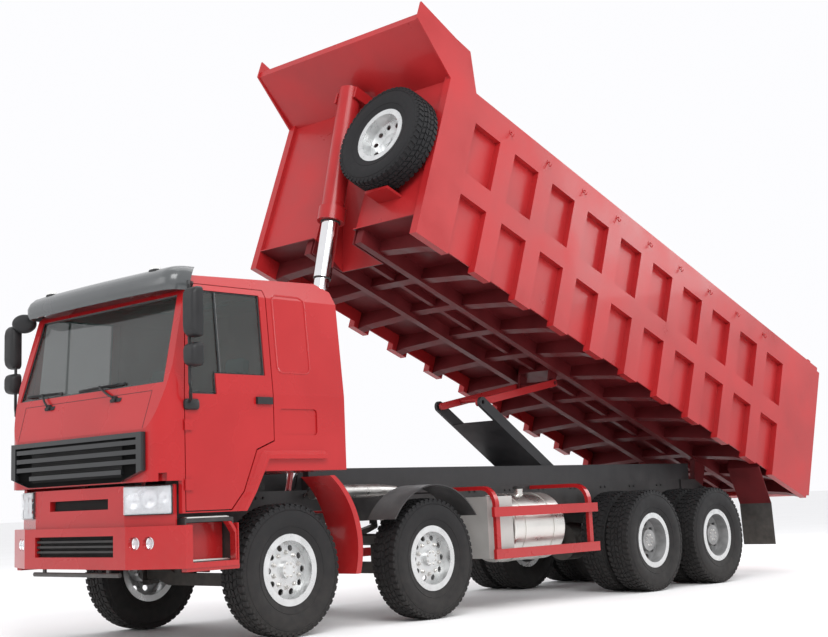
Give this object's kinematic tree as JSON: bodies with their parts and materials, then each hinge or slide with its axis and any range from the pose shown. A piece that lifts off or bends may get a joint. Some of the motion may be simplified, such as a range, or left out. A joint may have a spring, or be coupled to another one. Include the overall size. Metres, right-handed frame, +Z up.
{
  "type": "dump truck",
  "caption": "Four-axle forward-control dump truck with a tilting ribbed bed raised by a front telescopic hoist, two steered axles and twin rear wheels.",
  "frame": {"origin": "on the ground below the centre of the bounding box, with the bed raised as stored", "axes": "+X to the left side of the truck, +Y to the rear, +Z up"},
  "size_m": [2.92, 11.1595, 6.0908],
  "materials": {
    "red_paint": "gloss",
    "black_paint": "satin",
    "grey_paint": "satin",
    "dark_plastic": "matte",
    "lamp": "gloss",
    "steel": "satin",
    "rim_silver": "satin",
    "iron": "matte",
    "chrome": "polished",
    "glass": "clear",
    "tyre_rubber": "matte",
    "flap_rubber": "matte",
    "seat_cloth": "matte"
  },
  "bodies": {
    "chassis": {"chassis_frame": "black_paint", "subframe": "black_paint", "front_bumper": "red_paint", "lamps": "lamp", "side_steps": "black_paint", "front_axles": "iron", "drive_axles": "iron", "leaf_springs": "iron", "propshafts": "iron", "engine": "iron", "fuel_tank": "steel", "side_boxes": "grey_paint", "side_guards": "red_paint", "exhaust": "steel", "mudguards": "black_paint"},
    "cab": {"cab_shell": "red_paint", "windscreen": "glass", "front_grille": "dark_plastic", "sun_visor": "dark_plastic", "seats": "seat_cloth", "dashboard": "dark_plastic"},
    "door_left_body": {"door_left": "red_paint", "door_glass_left": "glass", "mirrors_left": "dark_plastic"},
    "door_right_body": {"door_right": "red_paint", "door_glass_right": "glass", "mirrors_right": "dark_plastic"},
    "bed": {"bed_tub": "red_paint", "bed_underframe": "red_paint", "bed_mudflaps": "flap_rubber", "spare_tyre": "tyre_rubber", "spare_rim": "rim_silver"},
    "tailgate_body": {"tailgate": "red_paint"},
    "hoist_barrel_body": {"hoist_barrel": "red_paint"},
    "stabiliser_lower": {"stabiliser_lower_link": "black_paint"},
    "stabiliser_upper": {"stabiliser_upper_link": "red_paint"},
    "hoist_stage_1_body": {"hoist_stage_1": "chrome"},
    "hoist_stage_2_body": {"hoist_stage_2": "chrome"},
    "hoist_stage_3_body": {"hoist_stage_3": "chrome"},
    "hoist_stage_4_body": {"hoist_stage_4": "chrome"},
    "steering_knuckle_1_left": {"knuckle_1_left": "black_paint"},
    "wheel_1_left": {"tyre_1_left": "tyre_rubber", "rim_1_left": "rim_silver"},
    "steering_knuckle_1_right": {"knuckle_1_right": "black_paint"},
    "wheel_1_right": {"tyre_1_right": "tyre_rubber", "rim_1_right": "rim_silver"},
    "steering_knuckle_2_left": {"knuckle_2_left": "black_paint"},
    "wheel_2_left": {"tyre_2_left": "tyre_rubber", "rim_2_left": "rim_silver"},
    "steering_knuckle_2_right": {"knuckle_2_right": "black_paint"},
    "wheel_2_right": {"tyre_2_right": "tyre_rubber", "rim_2_right": "rim_silver"},
    "wheels_3_left": {"tyres_3_left": "tyre_rubber", "rims_3_left": "rim_silver"},
    "wheels_3_right": {"tyres_3_right": "tyre_rubber", "rims_3_right": "rim_silver"},
    "wheels_4_left": {"tyres_4_left": "tyre_rubber", "rims_4_left": "rim_silver"},
    "wheels_4_right": {"tyres_4_right": "tyre_rubber", "rims_4_right": "rim_silver"}
  },
  "joints": [
    {"name": "bed_tilt", "type": "hinge", "parent": "chassis", "child": "bed", "pos_m": [0, 3.5376, 1.1], "axis": [-1, 0, 0], "range_deg": [-20.5, 24.5]},
    {"name": "tailgate_swing", "type": "hinge", "parent": "bed", "child": "tailgate_body", "pos_m": [0, 5.41858, 2.76148], "axis": [1, 0, 0], "range_deg": [0, 90]},
    {"name": "cab_tilt", "type": "hinge", "parent": "chassis", "child": "cab", "pos_m": [0, -5.4144, 1.02], "axis": [1, 0, 0], "range_deg": [0, 50]},
    {"name": "door_left_swing", "type": "hinge", "parent": "cab", "child": "door_left_body", "pos_m": [1.204, -5.2944, 2], "axis": [0, 0, -1], "range_deg": [0, 70]},
    {"name": "door_right_swing", "type": "hinge", "parent": "cab", "child": "door_right_body", "pos_m": [-1.204, -5.2944, 2], "axis": [0, 0, 1], "range_deg": [0, 70]},
    {"name": "hoist_barrel_swing", "type": "hinge", "parent": "bed", "child": "hoist_barrel_body", "pos_m": [0, -2.11385, 5.40159], "axis": [1, 0, 0], "range_deg": [-7.5, 9]},
    {"name": "hoist_slide_1", "type": "slide", "parent": "hoist_barrel_body", "child": "hoist_stage_1_body", "axis": [0, -0.2356, -0.9719], "range_m": [-0.5769, 0.6889]},
    {"name": "hoist_slide_2", "type": "slide", "parent": "hoist_stage_1_body", "child": "hoist_stage_2_body", "axis": [0, -0.2356, -0.9719], "range_m": [-0.5769, 0.6889]},
    {"name": "hoist_slide_3", "type": "slide", "parent": "hoist_stage_2_body", "child": "hoist_stage_3_body", "axis": [0, -0.2356, -0.9719], "range_m": [-0.5769, 0.6889]},
    {"name": "hoist_slide_4", "type": "slide", "parent": "hoist_stage_3_body", "child": "hoist_stage_4_body", "axis": [0, -0.2356, -0.9719], "range_m": [-0.5769, 0.6889]},
    {"name": "stabiliser_lower_swing", "type": "hinge", "parent": "chassis", "child": "stabiliser_lower", "pos_m": [0, 0.7056, 1.33], "axis": [1, 0, 0], "range_deg": [-41, 34.5]},
    {"name": "stabiliser_upper_swing", "type": "hinge", "parent": "bed", "child": "stabiliser_upper", "pos_m": [0, 0.82214, 2.40352], "axis": [1, 0, 0], "range_deg": [-31.5, 37.5]},
    {"name": "steer_1_left", "type": "hinge", "parent": "chassis", "child": "steering_knuckle_1_left", "pos_m": [0.86, -4.1444, 0.5625], "axis": [0, 0, 1], "range_deg": [-35, 35]},
    {"name": "wheel_1_left_spin", "type": "hinge", "parent": "steering_knuckle_1_left", "child": "wheel_1_left", "pos_m": [1.011, -4.1444, 0.5625], "axis": [1, 0, 0], "continuous": true},
    {"name": "steer_1_right", "type": "hinge", "parent": "chassis", "child": "steering_knuckle_1_right", "pos_m": [-0.86, -4.1444, 0.5625], "axis": [0, 0, 1], "range_deg": [-35.5, 35.5]},
    {"name": "wheel_1_right_spin", "type": "hinge", "parent": "steering_knuckle_1_right", "child": "wheel_1_right", "pos_m": [-1.011, -4.1444, 0.5625], "axis": [1, 0, 0], "continuous": true},
    {"name": "steer_2_left", "type": "hinge", "parent": "chassis", "child": "steering_knuckle_2_left", "pos_m": [0.86, -2.3444, 0.5625], "axis": [0, 0, 1], "range_deg": [-26, 26]},
    {"name": "wheel_2_left_spin", "type": "hinge", "parent": "steering_knuckle_2_left", "child": "wheel_2_left", "pos_m": [1.011, -2.3444, 0.5625], "axis": [1, 0, 0], "continuous": true},
    {"name": "steer_2_right", "type": "hinge", "parent": "chassis", "child": "steering_knuckle_2_right", "pos_m": [-0.86, -2.3444, 0.5625], "axis": [0, 0, 1], "range_deg": [-26, 26]},
    {"name": "wheel_2_right_spin", "type": "hinge", "parent": "steering_knuckle_2_right", "child": "wheel_2_right", "pos_m": [-1.011, -2.3444, 0.5625], "axis": [1, 0, 0], "continuous": true},
    {"name": "wheels_3_left_spin", "type": "hinge", "parent": "chassis", "child": "wheels_3_left", "pos_m": [1.09, 1.2556, 0.5625], "axis": [1, 0, 0], "continuous": true},
    {"name": "wheels_3_right_spin", "type": "hinge", "parent": "chassis", "child": "wheels_3_right", "pos_m": [-1.09, 1.2556, 0.5625], "axis": [1, 0, 0], "continuous": true},
    {"name": "wheels_4_left_spin", "type": "hinge", "parent": "chassis", "child": "wheels_4_left", "pos_m": [1.09, 2.6056, 0.5625], "axis": [1, 0, 0], "continuous": true},
    {"name": "wheels_4_right_spin", "type": "hinge", "parent": "chassis", "child": "wheels_4_right", "pos_m": [-1.09, 2.6056, 0.5625], "axis": [1, 0, 0], "continuous": true}
  ],
  "couplings": [
    {"joint": "hoist_barrel_swing", "follows": "bed_tilt", "ratio": 0.35},
    {"joint": "hoist_slide_1", "follows": "bed_tilt", "m_per_rad": 1.604},
    {"joint": "hoist_slide_2", "follows": "bed_tilt", "m_per_rad": 1.604},
    {"joint": "hoist_slide_3", "follows": "bed_tilt", "m_per_rad": 1.604},
    {"joint": "hoist_slide_4", "follows": "bed_tilt", "m_per_rad": 1.604},
    {"joint": "stabiliser_lower_swing", "follows": "bed_tilt", "ratio": -1.65},
    {"joint": "stabiliser_upper_swing", "follows": "bed_tilt", "ratio": 1.5},
    {"joint": "steer_1_right", "follows": "steer_1_left", "ratio": 1},
    {"joint": "steer_2_left", "follows": "steer_1_left", "ratio": 0.72},
    {"joint": "steer_2_right", "follows": "steer_1_left", "ratio": 0.72}
  ]
}
